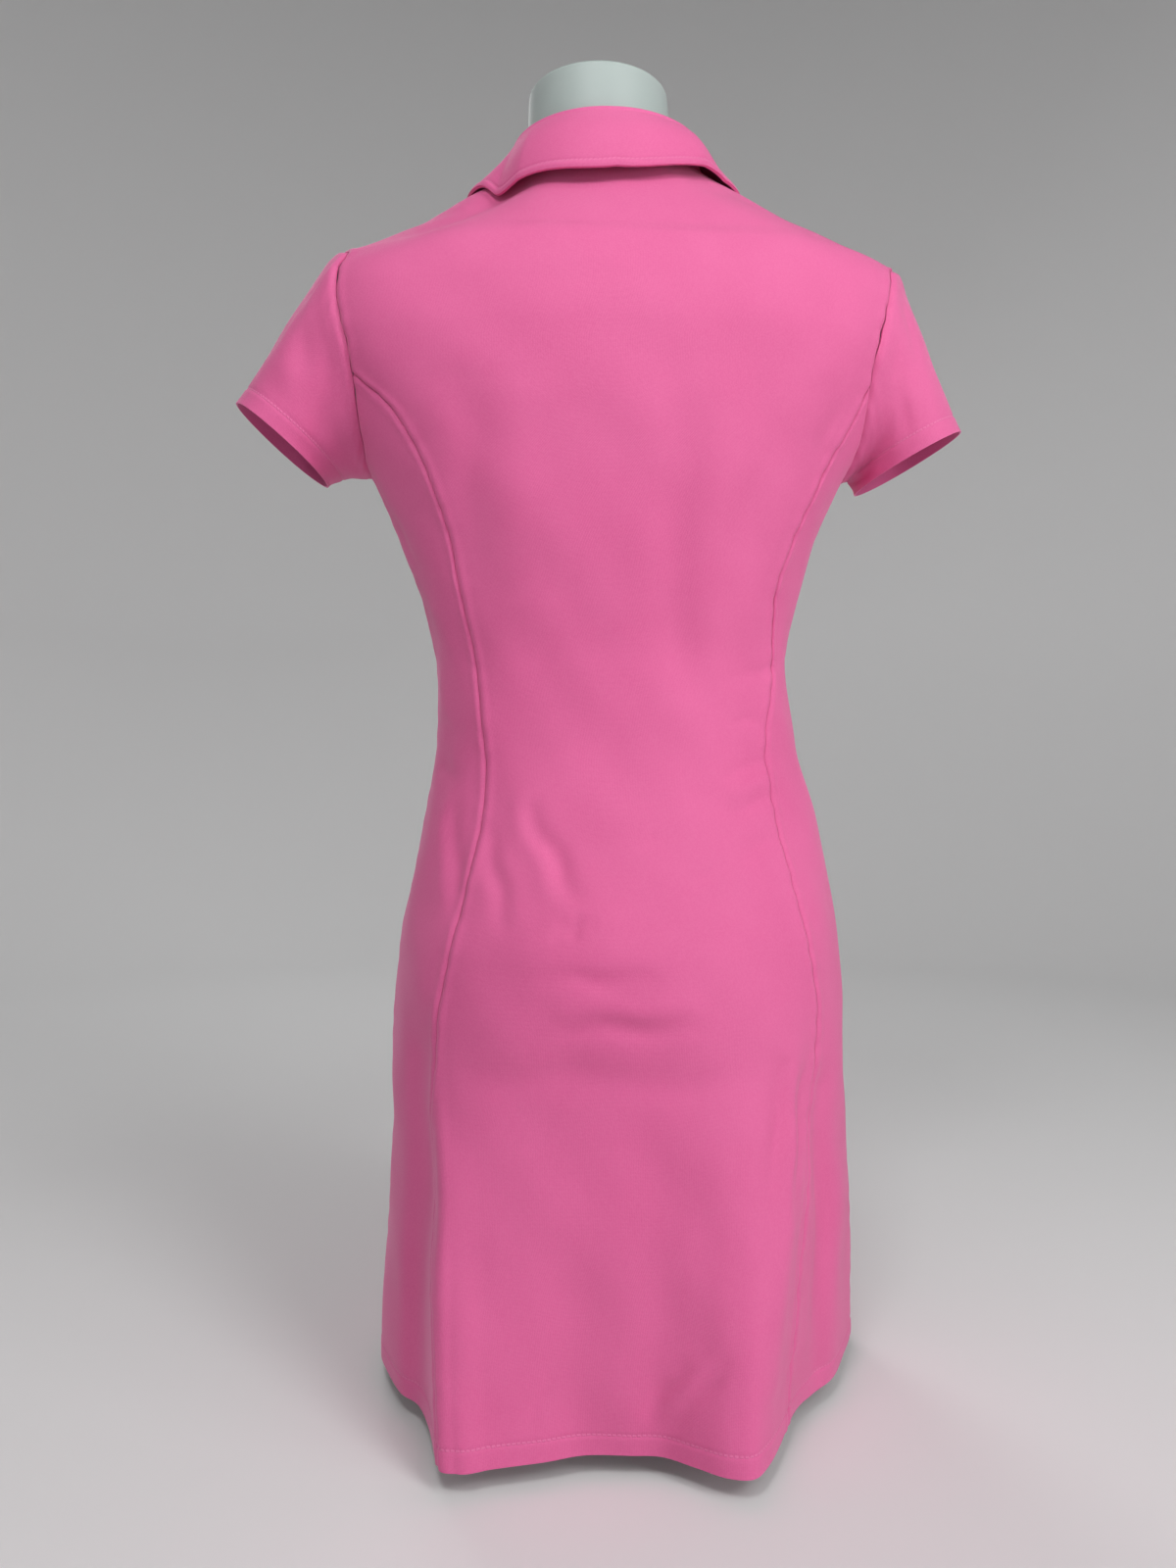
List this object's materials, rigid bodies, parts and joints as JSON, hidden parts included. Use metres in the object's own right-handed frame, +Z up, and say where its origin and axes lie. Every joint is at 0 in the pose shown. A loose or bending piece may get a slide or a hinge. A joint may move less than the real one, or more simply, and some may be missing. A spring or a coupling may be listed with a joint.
{
  "type": "polo dress on a dress form",
  "caption": "Short-sleeved knitted polo dress with a turned-down collar and fitted waist, standing on a limbless dress form with a short stand.",
  "frame": {"origin": "centre of the underside of the stand's base, on the surface that it stands on", "axes": "+Z up, -Y the way the dress faces, +Y its back, +X the wearer's left"},
  "size_m": [0.5081, 0.3085, 0.896],
  "materials": {
    "knit": "fine smooth knit with a soft sheen",
    "button": "satin",
    "form": "matt, pale grey-green",
    "stand": "satin"
  },
  "bodies": {
    "root": {"back_center": "knit", "back_side_left": "knit", "back_side_right": "knit", "front": "knit", "placket": "knit", "collar": "knit", "sleeve_left": "knit", "sleeve_right": "knit", "button_1": "button", "button_2": "button", "button_3": "button", "form_torso": "form", "stand_pole": "stand", "stand_base": "stand"}
  },
  "joints": []
}
